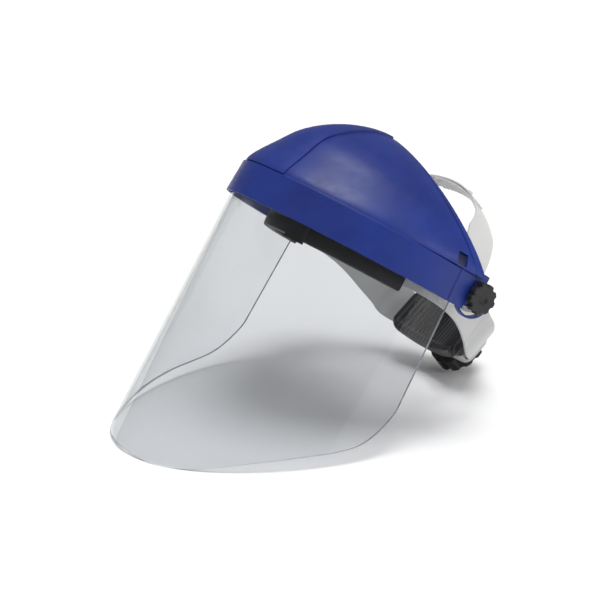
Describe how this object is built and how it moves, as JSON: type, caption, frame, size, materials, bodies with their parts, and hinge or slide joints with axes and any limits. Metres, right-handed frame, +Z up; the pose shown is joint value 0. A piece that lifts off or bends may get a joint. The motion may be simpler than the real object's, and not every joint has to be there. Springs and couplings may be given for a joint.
{
  "type": "face shield",
  "caption": "Face shield: clear curved window on a domed crown that tilts up about side knobs, on a ratchet headgear with sweatband, crown strap and nape pad.",
  "frame": {"origin": "middle of the tilt axis between the two side knobs", "axes": "front of the shield towards -Y, wearer's left towards +X, +Z up, with the shield resting on a table on the window's lower edge and the rear knob"},
  "size_m": [0.234, 0.3254, 0.2169],
  "materials": {
    "crown_blue": "fine textured blue thermoplastic",
    "window_clear": "clear polished polycarbonate",
    "band_grey": "satin grey flexible plastic",
    "strap_white": "satin off-white flexible plastic",
    "black_plastic": "moulded black plastic",
    "sweat_black": "soft black covered foam",
    "pad_black": "ribbed black soft moulding",
    "natural_plastic": "natural nylon",
    "steel": "zinc plated",
    "brass": "turned brass"
  },
  "bodies": {
    "headgear": {"headband": "band_grey", "sweatband": "sweat_black", "brow_tab": "black_plastic", "crown_strap_left": "strap_white", "crown_strap_right": "strap_white", "pivot_bolts": "steel", "hub_spacers": "band_grey"},
    "crown": {"crown_protector": "crown_blue", "window": "window_clear", "window_studs": "black_plastic", "friction_washers": "natural_plastic", "outer_washers": "steel"},
    "left_knob": {"left_pivot_knob": "black_plastic", "left_knob_insert": "brass"},
    "right_knob": {"right_pivot_knob": "black_plastic", "right_knob_insert": "brass"},
    "rear_adjuster": {"ratchet_housing": "band_grey", "ratchet_ring": "natural_plastic", "housing_plate": "black_plastic", "housing_screws": "steel", "nape_pad": "pad_black"},
    "ratchet": {"ratchet_knob": "black_plastic", "drive_gear": "natural_plastic", "pawl_disc": "natural_plastic", "knob_screw": "steel"},
    "left_slider": {"left_tail": "band_grey"},
    "right_slider": {"right_tail": "band_grey"}
  },
  "joints": [
    {"name": "crown_tilt", "type": "hinge", "parent": "headgear", "child": "crown", "pos_m": [0, 0, 0], "axis": [-1, 0, 0], "range_deg": [0, 80]},
    {"name": "left_knob_turn", "type": "hinge", "parent": "headgear", "child": "left_knob", "pos_m": [0.1125, 0, 0], "axis": [1, 0, 0], "range_deg": [-180, 180]},
    {"name": "right_knob_turn", "type": "hinge", "parent": "headgear", "child": "right_knob", "pos_m": [-0.1125, 0, 0], "axis": [-1, 0, 0], "range_deg": [-180, 180]},
    {"name": "ratchet_turn", "type": "hinge", "parent": "rear_adjuster", "child": "ratchet", "pos_m": [0, 0.06426, -0.0805], "axis": [0, -0.6239, 0.7815], "range_deg": [-60, 60]},
    {"name": "rear_slide", "type": "slide", "parent": "headgear", "child": "rear_adjuster", "axis": [0, -0.6239, 0.7815], "range_m": [-0.00513, 0.00513]},
    {"name": "left_tail_slide", "type": "slide", "parent": "headgear", "child": "left_slider", "axis": [-0.8192, -0.3578, 0.4482], "range_m": [-0.00896, 0.00896]},
    {"name": "right_tail_slide", "type": "slide", "parent": "headgear", "child": "right_slider", "axis": [0.8192, -0.3578, 0.4482], "range_m": [-0.00896, 0.00896]}
  ],
  "couplings": [
    {"joint": "ratchet_turn", "follows": "rear_slide", "rad_per_m": 204.08},
    {"joint": "left_tail_slide", "follows": "rear_slide", "ratio": 1.7438},
    {"joint": "right_tail_slide", "follows": "rear_slide", "ratio": 1.7438}
  ]
}
